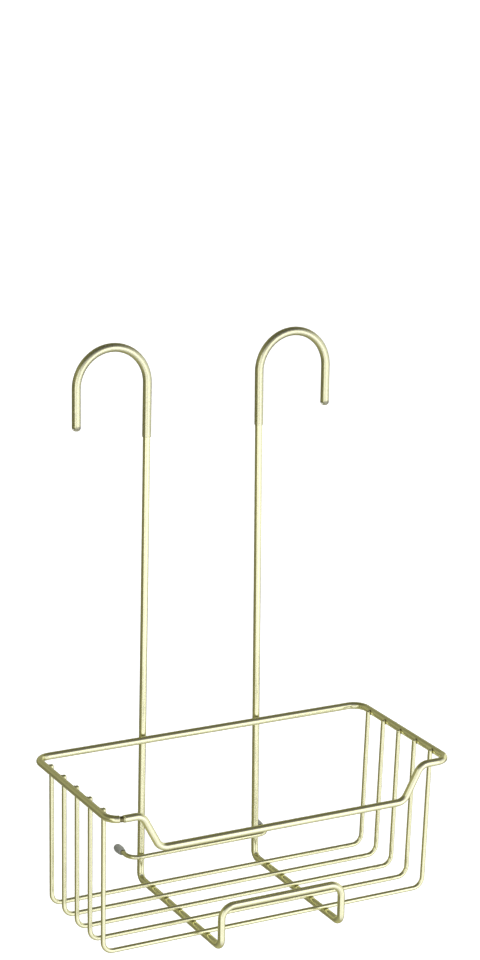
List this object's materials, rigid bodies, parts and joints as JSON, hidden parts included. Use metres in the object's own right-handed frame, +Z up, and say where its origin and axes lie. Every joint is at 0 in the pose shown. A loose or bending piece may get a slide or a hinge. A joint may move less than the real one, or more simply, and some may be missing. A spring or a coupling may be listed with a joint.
{
  "type": "shower caddy",
  "caption": "Hanging welded-wire shower caddy: two sleeved hooks over the wall unions of a bar mixer, an open wire basket with a lowered front rail, and a soft-tipped wall bumper.",
  "frame": {"origin": "midway between the centres of the two hooks, where the axes of the two wall unions would lie", "axes": "+X along the basket, +Y back to the wall, +Z up; the basket hangs below and in front"},
  "size_m": [0.2846, 0.1637, 0.4275],
  "materials": {
    "frame_wire": "pale gold plating on steel wire, bright satin",
    "basket_wire": "pale gold plating on thinner steel wire, bright satin",
    "bumper_rubber": "grey translucent silicone rubber",
    "clear_sleeve": "clear soft tube"
  },
  "bodies": {
    "root": {"hanger_frame": "frame_wire", "basket_rim": "frame_wire", "basket_wire_1": "basket_wire", "basket_wire_2": "basket_wire", "basket_wire_3": "basket_wire", "basket_wire_4": "basket_wire", "basket_wire_5": "basket_wire", "bumper_bar": "basket_wire", "left_bumper_tip": "bumper_rubber", "right_bumper_tip": "bumper_rubber", "left_hook_sleeve": "clear_sleeve", "right_hook_sleeve": "clear_sleeve"}
  },
  "joints": []
}
